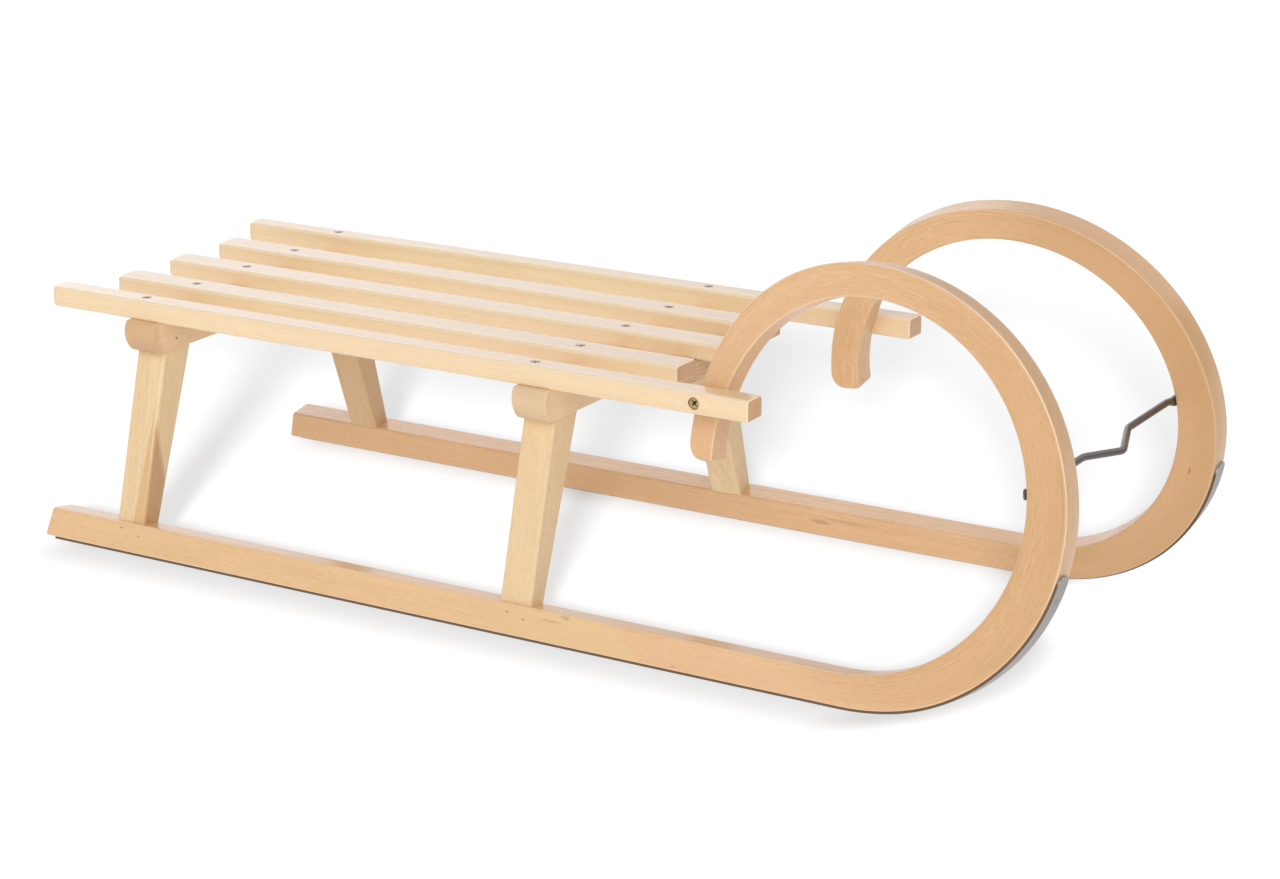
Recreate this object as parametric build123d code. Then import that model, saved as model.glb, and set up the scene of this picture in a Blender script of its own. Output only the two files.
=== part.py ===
from build123d import *
from math import asin, cos, degrees, radians, sin
import os

# Horn sled for one or two riders, millimetres.
# +X points forward, +Y to the left of the sled, +Z up, and the floor is Z = 0.
# The sizes along X are measured from the rear end of the outer slats. The finished
# pieces are set back by half the overall length, so the origin is under the middle.

# Seat
outer_slat_length = 724.5
outer_slat_width = 24.0
outer_slat_thickness = 18.3
inner_slat_rear = 20.5
inner_slat_front = 620.5
inner_slat_width = 32.5
inner_slat_thickness = 15.3
outer_slat_y = 144.0
inner_slat_pitch = 73.5
slat_top_radius = 4.0
slat_bottom_radius = 2.0
slat_plan_radius = 10.0
slat_heel_radius = 6.0
slat_front_chamfer = 1.0
screw_seat_diameter = 9.0
screw_seat_depth = 2.6
screw_shank_diameter = 4.5
screw_row_back = 5.1
horn_screw_seat_diameter = 10.5
horn_screw_back = 49.4

# Cross members
beam_top = 211.2
beam_depth = 29.0
beam_width = 34.0
beam_overhang_top = 16.0
beam_overhang_bulge = 19.5
beam_overhang_bottom = 10.5
beam_shoulder = 3.0
beam_foot_radius = 5.0
beam_arris_radius = 2.0
rear_beam_x = 109.5
front_beam_x = 522.0
crossbar_back = 36.0
crossbar_width = 26.0
crossbar_depth = 24.0
crossbar_overhang = 2.5
crossbar_foot_radius = 6.0

# Runners with their horns
lean = 10.2
runner_spread = 53.0
runner_thickness = 25.0
runner_depth = 27.0
runner_rear = 14.5
runner_rear_slant = 7.5
runner_heel_radius = 4.0
strip_thickness = 2.0
strip_width = 20.0
strip_inset = 1.2
strip_rear = 25.5
strip_turn = 79.0
strip_tip_radius = 8.0
tail_end_height = 171.0
tail_corner_radius = 13.0
tail_small_radius = 3.0
spring_ahead = 248.0
spring_radius = 1700.0

# Legs
leg_width = 31.0
leg_bottom_inset = 4.4
leg_top_outset = 3.0
leg_top_thickness = 36.0
leg_edge_radius = 2.0
leg_tenon_width = 20.0
leg_tenon_thickness = 14.0
leg_tenon_height = 16.0
foot_tenon_height = 10.0
joint_clearance = 0.05

# Pull bar
bar_diameter = 6.0
bar_up = 194.0
bar_notch_half_width = 45.0
bar_notch_depth = 15.0
bar_notch_drop = 4.5
bar_bend_radius = 11.0
tab_width = 9.0
tab_length = 24.0
tab_thickness = 3.0
tab_gap = 0.2
rod_gap = 0.8
rod_lap = 2.0
tab_corner_radius = 3.5

# Bends of the runner's two long edges, as radius and turn in degrees, from the floor to past the tail's end.
# Each edge starts level, this far ahead of the front ends of the outer slats.
outer_edge_ahead = 105.1
outer_edge_bends = [(216.4, 11.7), (164.4, 83.8), (185.3, 93.5), (148.7, 49.0), (184.6, 49.0)]
inner_edge_ahead = 91.1
inner_edge_bends = [(283.0, 3.7), (145.6, 105.3), (150.8, 71.3), (133.1, 57.7), (151.8, 52.0)]

# Derived sizes
foot_top = strip_thickness + runner_depth
outer_edge_start = (outer_slat_length + outer_edge_ahead, strip_thickness)
inner_edge_start = (outer_slat_length + inner_edge_ahead, foot_top)
spring_start = outer_slat_length + spring_ahead
split_height = 0.8 * tail_end_height
runner_half_span = outer_slat_y + runner_spread
leg_top_outer_y = outer_slat_y + leg_top_outset
beam_half_length = outer_slat_y + beam_overhang_bulge
crossbar_x = inner_slat_front - crossbar_back
crossbar_half_length = inner_slat_pitch + inner_slat_width / 2 + crossbar_overhang
slat_rows = [
    # name, y, rear, front, width, thickness
    ("slat_right_outer", -outer_slat_y, 0.0, outer_slat_length, outer_slat_width, outer_slat_thickness),
    ("slat_right_inner", -inner_slat_pitch, inner_slat_rear, inner_slat_front, inner_slat_width, inner_slat_thickness),
    ("slat_centre", 0.0, inner_slat_rear, inner_slat_front, inner_slat_width, inner_slat_thickness),
    ("slat_left_inner", inner_slat_pitch, inner_slat_rear, inner_slat_front, inner_slat_width, inner_slat_thickness),
    ("slat_left_outer", outer_slat_y, 0.0, outer_slat_length, outer_slat_width, outer_slat_thickness),
]
leg_rows = [
    # name of the pair, x of its middle
    ("rear", rear_beam_x),
    ("front", front_beam_x),
]
# The inner lower arris of the leaning steel strip is what touches the floor.
floor_lift = (strip_inset + strip_width) * sin(radians(lean))


def bend_chain(start, bends):
    """Tangent arcs from a start point on a level edge; gives the arcs, the last point and its heading."""
    x, t = start
    heading = 0.0
    edges = []
    for radius, turn in bends:
        cx = x - radius * sin(radians(heading))
        ct = t + radius * cos(radians(heading))
        points = []
        for part in (0.0, 0.5, 1.0):
            a = radians(heading + turn * part)
            points.append((cx + radius * sin(a), ct - radius * cos(a)))
        edges.append(points)
        x, t = points[-1]
        heading += turn
    return edges, (x, t), heading


def runner_to_sled(shape):
    """Leans a runner built upright (Y across its thickness, Z up) and sets it on the right side."""
    return Pos(0, -runner_half_span, floor_lift) * Rot(-lean, 0, 0) * shape


def mirrored(shape):
    """The same piece on the other side of the sled."""
    return mirror(shape, about=Plane.XZ)


def runner_point(across, up):
    """Y and Z on the sled of a point given across the runner's thickness and up its depth."""
    a = radians(lean)
    return (-runner_half_span + up * sin(a) + across * cos(a), floor_lift + up * cos(a) - across * sin(a))


def runner_profile():
    """Side outline of the bent runner: level foot, front bend, horn, and tail cut off level."""
    outer, outer_end, _ = bend_chain(outer_edge_start, outer_edge_bends)
    inner, inner_end, _ = bend_chain(inner_edge_start, inner_edge_bends)
    rear_foot = (runner_rear, strip_thickness)
    rear_top = (runner_rear + runner_rear_slant, foot_top)
    waste_low = (foot_top + outer_end[1]) / 2
    waste_height = tail_end_height - waste_low
    with BuildSketch(Plane.XZ) as sketch:
        with BuildLine():
            Line(rear_top, rear_foot)
            Line(rear_foot, outer_edge_start)
            for a, b, c in outer:
                ThreePointArc(a, b, c)
            Line(outer_end, inner_end)
            for a, b, c in reversed(inner):
                ThreePointArc(c, b, a)
            Line(inner_edge_start, rear_top)
        make_face()
        with Locations(((outer_end[0] + inner_end[0]) / 2, waste_low + waste_height / 2)):
            Rectangle(3 * runner_depth, waste_height, mode=Mode.SUBTRACT)
        tail = sketch.vertices().sort_by_distance((outer_end[0], tail_end_height, 0))[0]
        fillet(tail, tail_corner_radius)
        tip = sketch.vertices().sort_by_distance((inner_end[0], tail_end_height, 0))[0]
        fillet(tip, tail_small_radius)
        heel = sketch.vertices().sort_by_distance((*rear_top, 0))[0]
        fillet(heel, runner_heel_radius)
    return sketch.sketch


def bent_slab():
    """The layer the horn lies in: flat at the front, then sprung inward so the tail meets its slat."""
    _, tail_end, _ = bend_chain(outer_edge_start, outer_edge_bends)
    inner_radius = spring_radius - runner_thickness
    front = spring_start + 2 * (overall_length() - spring_start)
    turn = degrees(asin(1.2 * (spring_start - tail_end[0]) / spring_radius))

    def on_arc(radius, angle):
        a = radians(angle)
        return (spring_start - radius * sin(a), spring_radius - radius * cos(a))

    with BuildSketch(Plane.XY) as sketch:
        with BuildLine():
            Line((front, 0), (spring_start, 0))
            ThreePointArc((spring_start, 0), on_arc(spring_radius, turn / 2), on_arc(spring_radius, turn))
            Line(on_arc(spring_radius, turn), on_arc(inner_radius, turn))
            ThreePointArc(on_arc(inner_radius, turn), on_arc(inner_radius, turn / 2), (spring_start, runner_thickness))
            Polyline((spring_start, runner_thickness), (front, runner_thickness), (front, 0))
        make_face()
    return Pos(0, 0, split_height) * extrude(sketch.sketch, overall_length())


def leg_tenon_foot(x, slack):
    """Tenon under a leg, standing in the runner, as a block that leans with the runner."""
    middle = (leg_bottom_inset + runner_thickness) / 2
    block = Box(leg_tenon_width + 2 * slack, leg_tenon_thickness + 2 * slack, foot_tenon_height + slack)
    return runner_to_sled(Pos(x, middle, foot_top - (foot_tenon_height + slack) / 2) * block)


def leg_tenon_head(x, slack):
    """Tenon on top of a leg, let up into the beam."""
    middle = -(leg_top_outer_y - leg_top_thickness / 2)
    bottom = beam_top - beam_depth
    block = Box(leg_tenon_width + 2 * slack, leg_tenon_thickness + 2 * slack, leg_tenon_height + slack)
    return Pos(x, middle, bottom + (leg_tenon_height + slack) / 2) * block


def slat_blank(y, rear, front, width, thickness):
    """Plain block of a slat; its underside lies on the beams."""
    return Pos((rear + front) / 2, y, beam_top + thickness / 2) * Box(front - rear, width, thickness)


def screw_seat(x, y, top):
    """Countersunk seat and shank hole of a wood screw, down through a slat into its beam."""
    cone_depth = (screw_seat_diameter - screw_shank_diameter) / 2
    rim_depth = screw_seat_depth - cone_depth
    rim = Pos(x, y, top - rim_depth / 2) * Cylinder(screw_seat_diameter / 2, rim_depth)
    cone = Cone(screw_shank_diameter / 2, screw_seat_diameter / 2, cone_depth)
    return rim + Pos(x, y, top - rim_depth - cone_depth / 2) * cone


def slat(y, rear, front, width, thickness):
    """Seat slat with a round rear end, eased edges and a screw seat over each beam."""
    body = slat_blank(y, rear, front, width, thickness)
    rear_edges = body.edges().filter_by(Axis.Z).group_by(Axis.X)[0]
    body = fillet(rear_edges, slat_plan_radius)
    for level, radius in ((-1, slat_top_radius), (0, slat_bottom_radius)):
        long_edges = body.edges().filter_by(Axis.X).filter_by(lambda e: e.length > (front - rear) / 2)
        body = fillet(long_edges.group_by(Axis.Z)[level], radius)
    body = chamfer(body.faces().sort_by(Axis.X)[-1].edges(), slat_front_chamfer)
    corner = Box(2 * slat_heel_radius, 2 * width, 2 * slat_heel_radius)
    round_bar = Rot(90, 0, 0) * Cylinder(slat_heel_radius, 2 * width)
    body = body - Pos(rear, y, beam_top) * (corner - Pos(slat_heel_radius, 0, slat_heel_radius) * round_bar)
    for _, x in leg_rows:
        body = body - screw_seat(x - screw_row_back, y, beam_top + thickness)
    return body


def outer_slat(row):
    """Outer slat, with the seat of the screw that holds the tail of the horn to its inside."""
    y, rear, front, width, thickness = row[1:]
    side = -1 if y < 0 else 1
    x = front - horn_screw_back
    seat = Cylinder(horn_screw_seat_diameter / 2, screw_seat_depth)
    face = Pos(x, y + side * (width - screw_seat_depth) / 2, beam_top + thickness / 2)
    return slat(y, rear, front, width, thickness) - face * Rot(90, 0, 0) * seat


def runner():
    """Right runner: one bent piece with foot, front bend, horn and a tail sprung in to the outer slat."""
    profile = runner_profile()
    size = 2 * overall_length()
    flat = Pos(0, runner_thickness, 0) * extrude(profile, runner_thickness)
    below = flat & Pos(0, 0, split_height - size / 2) * Box(2 * size, size, size)
    wide = Pos(0, size / 2, 0) * extrude(profile, size)
    horn = wide & bent_slab()
    body = runner_to_sled(below + horn)
    body = body - slat_blank(*slat_rows[0][1:])
    for _, x in leg_rows:
        body = body - leg_tenon_foot(x, joint_clearance)
    return body


def running_strip():
    """Right steel strip under the runner and up its front bend, with a rounded tip."""
    turned = 0.0
    bends = []
    for radius, turn in outer_edge_bends:
        part = min(turn, strip_turn - turned)
        if part <= 0:
            break
        bends.append((radius, part))
        turned += part
    x, t = outer_edge_start
    wood, wood_end, _ = bend_chain((x, t), bends)
    steel, steel_end, _ = bend_chain((x, t - strip_thickness), [(r + strip_thickness, a) for r, a in bends])
    with BuildSketch(Plane.XZ) as sketch:
        with BuildLine():
            Line((strip_rear, t), (strip_rear, t - strip_thickness))
            Line((strip_rear, t - strip_thickness), (x, t - strip_thickness))
            for a, b, c in steel:
                ThreePointArc(a, b, c)
            Line(steel_end, wood_end)
            for a, b, c in reversed(wood):
                ThreePointArc(c, b, a)
            Line((x, t), (strip_rear, t))
        make_face()
    band = Pos(0, strip_inset + strip_width, 0) * extrude(sketch.sketch, strip_width)
    tip = band.edges().filter_by(lambda e: e.length < 2 * strip_thickness).group_by(Axis.Z)[-1]
    band = fillet(tip, strip_tip_radius)
    return runner_to_sled(band)


def leg(x):
    """Right leg: narrower at its foot, wide under the beam, tenoned at both ends."""
    under = beam_top - beam_depth
    corners = [
        runner_point(leg_bottom_inset, foot_top),
        runner_point(runner_thickness, foot_top),
        (-(leg_top_outer_y - leg_top_thickness), under),
        (-leg_top_outer_y, under),
    ]
    with BuildSketch(Plane.YZ) as sketch:
        with BuildLine():
            Polyline(*corners, close=True)
        make_face()
    body = Pos(x - leg_width / 2, 0, 0) * extrude(sketch.sketch, leg_width)
    uprights = body.edges().filter_by(lambda e: e.length > (under - foot_top) / 2)
    body = fillet(uprights, leg_edge_radius)
    return body + leg_tenon_foot(x, 0) + leg_tenon_head(x, 0)


def beam(x):
    """Beam across the sled under the slats, with bulging ends and a mortise for each leg."""
    under = beam_top - beam_depth
    top_y = outer_slat_y + beam_overhang_top
    bottom_y = outer_slat_y + beam_overhang_bottom
    bulge = (beam_half_length, beam_top - beam_depth / 3)
    with BuildSketch(Plane.YZ) as sketch:
        with BuildLine():
            Line((-bottom_y, under), (bottom_y, under))
            ThreePointArc((bottom_y, under), bulge, (top_y, beam_top))
            Line((top_y, beam_top), (-top_y, beam_top))
            ThreePointArc((-top_y, beam_top), (-bulge[0], bulge[1]), (-bottom_y, under))
        make_face()
        fillet(sketch.vertices().group_by(Axis.Y)[0], beam_foot_radius)
        fillet(sketch.vertices().group_by(Axis.Y)[-1], beam_shoulder)
    body = Pos(x - beam_width / 2, 0, 0) * extrude(sketch.sketch, beam_width)
    body = fillet(body.edges().filter_by(Axis.Y), beam_arris_radius)
    mortise = leg_tenon_head(x, joint_clearance)
    return body - mortise - mirrored(mortise)


def crossbar():
    """Short bar that ties the front ends of the three inner slats together from below."""
    body = Box(crossbar_width, 2 * crossbar_half_length, crossbar_depth)
    body = fillet(body.edges().filter_by(Axis.X).group_by(Axis.Z)[0], crossbar_foot_radius)
    return Pos(crossbar_x, 0, beam_top - crossbar_depth / 2) * body


def inner_face_at(up):
    """X and backward tilt, in degrees, of the inside of the front bend at a height up the runner."""
    x, t = inner_edge_start
    heading = 0.0
    for radius, turn in inner_edge_bends:
        cx = x - radius * sin(radians(heading))
        ct = t + radius * cos(radians(heading))
        heading += turn
        x = cx + radius * sin(radians(heading))
        t = ct - radius * cos(radians(heading))
        if t >= up:
            tilt = degrees(asin((up - ct) / radius))
            return cx + radius * cos(radians(tilt)), tilt


def pull_bar():
    """Round bar between the horns with a notch forward for the rope and a flat tab at each end."""
    face_x, tilt = inner_face_at(bar_up)
    middle_y, middle_z = runner_point(runner_thickness / 2, bar_up)

    def off_face(distance):
        return face_x - distance * cos(radians(tilt)), middle_z - distance * sin(radians(tilt))

    rod_x, rod_z = off_face(rod_gap + bar_diameter / 2)
    tab_x, tab_z = off_face(tab_gap + tab_thickness / 2)
    rod_end = -middle_y - tab_length / 2 + rod_lap
    path = FilletPolyline(
        (rod_x, -rod_end, rod_z),
        (rod_x, -bar_notch_half_width, rod_z),
        (rod_x + bar_notch_depth, 0, rod_z - bar_notch_drop),
        (rod_x, bar_notch_half_width, rod_z),
        (rod_x, rod_end, rod_z),
        radius=bar_bend_radius,
    )
    start = Plane(origin=path @ 0, z_dir=path % 0)
    bar = sweep(start * Circle(bar_diameter / 2), path=path)
    tab = Box(tab_thickness, tab_length, tab_width)
    tab = fillet(tab.edges().filter_by(Axis.X), tab_corner_radius)
    tab = Pos(tab_x, middle_y, tab_z) * Rot(-lean, 0, 0) * Rot(0, -tilt, 0) * tab
    return bar + tab + mirrored(tab)


def overall_length():
    """From the rear of the outer slats to the foremost point of the front bends."""
    x, t = outer_edge_start
    heading = 0.0
    for radius, turn in outer_edge_bends:
        cx = x - radius * sin(radians(heading))
        if heading + turn >= 90.0:
            return cx + radius
        heading += turn
        x = cx + radius * sin(radians(heading))


def write_piece(name, shape):
    """Sets a piece back so the origin lies under the middle of the sled, and writes it."""
    export_step(Pos(-overall_length() / 2, 0, 0) * shape, "parts/" + name + ".step")


os.makedirs("parts", exist_ok=True)

for row in slat_rows:
    if row[0].endswith("outer"):
        write_piece(row[0], outer_slat(row))
    else:
        write_piece(row[0], slat(*row[1:]))

pair_rows = [
    # name, the piece on the right side
    ("runner", runner()),
    ("running_strip", running_strip()),
]
for name, x in leg_rows:
    pair_rows.append(("leg_" + name, leg(x)))
    write_piece("beam_" + name, beam(x))
for name, piece in pair_rows:
    write_piece(name + "_right", piece)
    write_piece(name + "_left", mirrored(piece))

write_piece("crossbar_front", crossbar())
write_piece("pull_bar", pull_bar())
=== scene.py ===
import bpy
import math
import numpy as np
from mathutils import Matrix


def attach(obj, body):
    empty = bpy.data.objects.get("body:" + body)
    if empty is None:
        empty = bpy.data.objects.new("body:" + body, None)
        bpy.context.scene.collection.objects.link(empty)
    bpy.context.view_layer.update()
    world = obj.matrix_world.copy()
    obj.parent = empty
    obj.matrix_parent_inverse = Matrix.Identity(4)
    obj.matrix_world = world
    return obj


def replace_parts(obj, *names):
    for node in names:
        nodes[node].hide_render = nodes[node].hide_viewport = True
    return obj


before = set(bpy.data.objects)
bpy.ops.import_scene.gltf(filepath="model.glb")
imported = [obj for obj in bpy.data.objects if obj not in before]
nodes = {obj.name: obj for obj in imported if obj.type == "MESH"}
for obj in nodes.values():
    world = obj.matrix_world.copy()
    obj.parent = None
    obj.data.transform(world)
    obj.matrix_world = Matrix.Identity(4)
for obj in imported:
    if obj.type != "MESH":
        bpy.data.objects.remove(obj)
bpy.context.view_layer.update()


# Meshes

def unit(vectors):
    return vectors / np.linalg.norm(vectors, axis=-1, keepdims=True)


def roundedSection(low, high, left, right, radius, steps=6, flats=3, highlight=(1.0, 1.0, 1.0, 1.0)):
    # A rectangle from low to high and left to right at each station, with quarter circles for corners:
    # centre + radius * (cos, sin) of an angle, then points along the flat. A radius stays under half the
    # narrower side. The arris value, the strength of a painted highlight, peaks amid a corner:
    # sin(2 * angle)^5 * the corner's highlight.
    low, high, left, right, radius = np.broadcast_arrays(low, high, left, right, radius)
    radius = np.minimum(radius, 0.49 * np.minimum(high - low, right - left))
    corners = [(high, right, 1, 1), (low, right, -1, 1), (low, left, -1, -1), (high, left, 1, -1)]
    swing = np.linspace(0.0, math.pi / 2, steps + 1)
    rounds, full, edge = [], [], []
    for index, (edgeA, edgeB, signA, signB) in enumerate(corners):
        angle = swing + index * math.pi / 2
        a = (edgeA - signA * radius)[:, None] + radius[:, None] * np.cos(angle)
        b = (edgeB - signB * radius)[:, None] + radius[:, None] * np.sin(angle)
        rounds.append(np.stack([a, b], axis=2))
    for index in range(4):
        here, after = rounds[index], rounds[(index + 1) % 4]
        full.append(here)
        edge.append(np.sin(2.0 * swing) ** 5 * highlight[index])
        for share in np.linspace(0.05, 0.95, flats):
            full.append(here[:, -1:] * (1.0 - share) + after[:, :1] * share)
            edge.append(np.zeros(1))
    return np.concatenate(full, axis=1), np.concatenate(edge)


def roundedEnds(length, startRadius, endRadius, spacing, steps=6):
    # Stations along a bar: at radius * (1 - cos of an angle) where an end rounds over, then evenly.
    swing = np.linspace(0.0, math.pi / 2, steps + 1)
    start = startRadius * (1.0 - np.cos(swing))
    end = length - endRadius * (1.0 - np.cos(swing[::-1]))
    count = max(2, int((length - startRadius - endRadius) / spacing))
    middle = np.linspace(startRadius, length - endRadius, count + 1)[1:-1]
    return np.concatenate([start, middle, end])


def shrink(distance, radius):
    # How far a side has come in near the end: radius - sqrt(radius^2 - (radius - distance)^2).
    inside = np.clip(radius - distance, 0.0, radius)
    return radius - np.sqrt(np.maximum(radius ** 2 - inside ** 2, 0.0))


def newObject(name, data):
    made = bpy.data.objects.new(name, data)
    bpy.context.scene.collection.objects.link(made)
    return made


def putMesh(name, points, faces, attributes, material):
    # Puts arrays into a smooth mesh; faces whose enclosed volume comes out negative are turned round.
    points = np.asarray(points, dtype=float)
    tris = np.array([f[:3] for f in faces] + [(f[0], f[2], f[3]) for f in faces if len(f) == 4])
    a, b, c = points[tris[:, 0]], points[tris[:, 1]], points[tris[:, 2]]
    if np.einsum("ij,ij->i", a, np.cross(b, c)).sum() < 0:
        faces = [tuple(reversed(f)) for f in faces]
    mesh = bpy.data.meshes.new(name)
    mesh.from_pydata(points.tolist(), [], faces)
    mesh.polygons.foreach_set("use_smooth", np.ones(len(mesh.polygons), dtype=bool))
    for label, values in attributes.items():
        values = np.asarray(values, dtype=float)
        kind, key = ("FLOAT_VECTOR", "vector") if values.ndim == 2 else ("FLOAT", "value")
        mesh.attributes.new(label, kind, "POINT").data.foreach_set(key, values.ravel())
    mesh.materials.append(material)
    mesh.update()
    piece = newObject(name, mesh)
    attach(piece, "root")
    return piece


def barFaces(stations, around):
    # Quads between neighbouring rings, each ring closed on itself, and a fan of triangles round each pole.
    ring = np.arange(around)
    after = (ring + 1) % around
    start = (np.arange(stations - 1) * around)[:, None]
    quads = np.stack([start + ring, start + after, start + around + after, start + around + ring], axis=2)
    first, last = stations * around, stations * around + 1
    end = (stations - 1) * around
    fans = [(first, int(n), int(r)) for r, n in zip(ring, after)]
    fans += [(last, int(end + r), int(end + n)) for r, n in zip(ring, after)]
    return [tuple(q) for q in quads.reshape(-1, 4).tolist()] + fans


def bar(name, place, along, section, edge, grainShift, material, endReach=0.002):
    # A closed bar: rings of the section at each station, each end filled by rings that shrink to the middle.
    # place(station index, along, a, b) gives x, y, z; "grain" keeps (along, a, b) for the wood's figure.
    inner = (0.8, 0.5, 0.2)
    middle = section.mean(axis=1, keepdims=True)
    startCap = [middle[:1] + (section[:1] - middle[:1]) * k for k in reversed(inner)]
    endCap = [middle[-1:] + (section[-1:] - middle[-1:]) * k for k in inner]
    rings = np.concatenate(startCap + [section] + endCap)
    count = len(inner)
    index = np.concatenate([np.zeros(count, int), np.arange(len(along)), np.full(count, len(along) - 1)])
    a, b = rings[:, :, 0], rings[:, :, 1]
    s = np.repeat(along[index][:, None], a.shape[1], axis=1)
    a = np.concatenate([a.ravel(), middle[0, :, 0], middle[-1, :, 0]])
    b = np.concatenate([b.ravel(), middle[0, :, 1], middle[-1, :, 1]])
    s = np.concatenate([s.ravel(), along[:1], along[-1:]])
    station = np.concatenate([np.repeat(index, rings.shape[1]), [0, len(along) - 1]])
    x, y, z = place(station, s, a, b)
    fromEnd = np.minimum(s - along[0], along[-1] - s)
    endGrain = np.clip(1.0 - fromEnd / endReach, 0.0, 1.0)
    # The arris value says where the painted highlight goes; the caps get none.
    arris = np.concatenate([np.tile(edge, len(rings)), [0.0, 0.0]])
    capRows = np.ones(len(rings), bool)
    capRows[count:-count] = False
    arris[:-2][np.repeat(capRows, rings.shape[1])] = 0.0
    grain = np.stack([s, a, b], axis=1) + np.asarray(grainShift)
    faces = barFaces(len(rings), rings.shape[1])
    looks = {"grain": grain, "endGrain": endGrain, "arris": arris}
    return putMesh(name, np.stack([x, y, z], axis=1), faces, looks, material)


# Shading

class Wire:
    # One socket of a node tree. Sums and products written on it add Math nodes.
    def __init__(self, tree, socket=None):
        self.tree = tree
        self.socket = socket

    def node(self, kind, settings=None, inputs=None, out=0):
        made = self.tree.nodes.new("ShaderNode" + kind)
        for key, value in (settings or {}).items():
            setattr(made, key, value)
        for key, value in (inputs or {}).items():
            if isinstance(value, Wire):
                self.tree.links.new(value.socket, made.inputs[key])
            else:
                made.inputs[key].default_value = value
        return Wire(self.tree, made.outputs[out])

    def math(self, operation, first, second=0.0):
        return self.node("Math", {"operation": operation}, {0: first, 1: second})

    def __add__(self, other):
        return self.math("ADD", self, other)

    def __sub__(self, other):
        return self.math("SUBTRACT", self, other)

    def __rsub__(self, other):
        return self.math("SUBTRACT", other, self)

    def __mul__(self, other):
        return self.math("MULTIPLY", self, other)

    def __truediv__(self, other):
        return self.math("DIVIDE", self, other)

    def __rtruediv__(self, other):
        return self.math("DIVIDE", other, self)

    def __pow__(self, other):
        return self.math("POWER", self, other)

    def __abs__(self):
        return self.math("ABSOLUTE", self)

    __radd__ = __add__
    __rmul__ = __mul__

    def step(self, low, high):
        # 0 below low, 1 above high, and a smooth s-curve between.
        span = {"From Min": low, "From Max": high, "To Min": 0.0, "To Max": 1.0, "Value": self}
        return self.node("MapRange", {"interpolation_type": "SMOOTHSTEP"}, span)

    def blend(self, first, second):
        # The colour first where this value is 0, second where it is 1.
        first, second = [(*part, 1.0) if isinstance(part, tuple) else part for part in (first, second)]
        settings = {"data_type": "RGBA", "blend_type": "MIX", "clamp_factor": True}
        return self.node("Mix", settings, {0: self, 6: first, 7: second}, 2)

    def stretched(self, scale, shift=(0.0, 0.0, 0.0)):
        return self.node("Mapping", None, {"Vector": self, "Scale": scale, "Location": shift})

    def noise(self, scale, detail=2.0, rough=0.5, shift=(0.0, 0.0, 0.0), distortion=0.0):
        # Noise about 0, from roughly -0.5 to 0.5, with its cells stretched by the three scales.
        sizes = {"Scale": 1.0, "Detail": detail, "Roughness": rough, "Distortion": distortion,
                 "Vector": self.stretched(scale, shift)}
        return self.node("TexNoise", None, sizes) - 0.5

    def parts(self):
        return [self.node("SeparateXYZ", None, {0: self}, k) for k in range(3)]


def newMaterial(name):
    material = bpy.data.materials.new(name)
    material.use_nodes = True
    tree = material.node_tree
    tree.nodes.clear()
    output = tree.nodes.new("ShaderNodeOutputMaterial")
    return material, Wire(tree), output


beechLook = {
    "ringSpacing": 0.0034,  # growth rings, radially
    "pith": (0.055, 0.031),  # where the trunk's middle lies beside the piece
    "pithTilt": 0.035,
    "wander": (0.011, 0.004),  # how far slow and quick noise move the rings
    "lateWood": (0.35, 0.93),  # where in a ring it starts and is full
    "warmRange": (0.2, 1.0), "fleckRange": (0.10, 0.24),
    "fleckShade": 0.60,  # a share of the wood's colour
    "poreRange": (0.2, 0.3), "poreShade": 0.5, "poreStrength": 0.22, "spotRange": (0.4, 1.1),
    "endRingSpacing": 0.0021, "endShade": 0.66, "roughness": 0.45, "specular": 0.30,
    "coatRoughness": 0.16, "bumpStrength": 0.30, "bumpDepth": 0.00016,
}
beechNoise = [
    # cells per metre along and across the grain, detail, roughness, shift, distortion
    (2.3, 21.0, 2.0, 0.5, (0.0, 0.0, 0.0), 0.0),  # slow
    (8.0, 62.0, 2.0, 0.5, (3.1, 0.7, 1.9), 0.0),  # warp
    (3.6, 190.0, 3.0, 0.55, (1.7, 4.2, 0.3), 0.0),  # streak
    (42.0, 1500.0, 3.0, 0.6, (0.4, 2.2, 5.1), 0.0),  # fibre
    (105.0, 500.0, 2.0, 0.6, (6.4, 3.3, 0.8), 0.7),  # ripple
    (9.0, 34.0, 3.0, 0.5, (8.8, 1.2, 0.6), 0.0),  # cloud
    (300.0, 1500.0, 1.0, 0.4, (0.2, 0.9, 3.3), 0.0),  # fleck
    (120.0, 2600.0, 0.0, 0.5, (5.5, 0.1, 0.2), 0.0),  # pore
    (40.0, 2100.0, 2.0, 0.5, (1.1, 8.2, 3.3), 0.0),  # end pores
]


def dress(start, output, look, height, sides):
    # The surface, with a bump of this height.
    lifted = {"Strength": look["bumpStrength"], "Distance": look["bumpDepth"], "Height": height}
    sides["Normal"] = start.node("Bump", None, lifted)
    surface = start.node("BsdfPrincipled", None, sides)
    start.tree.links.new(surface.socket, output.inputs[0])


def shaded(colour, share):
    return tuple(share * part for part in colour)


def attribute(start, name, out):
    return start.node("Attribute", {"attribute_name": name}, None, out)


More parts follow.
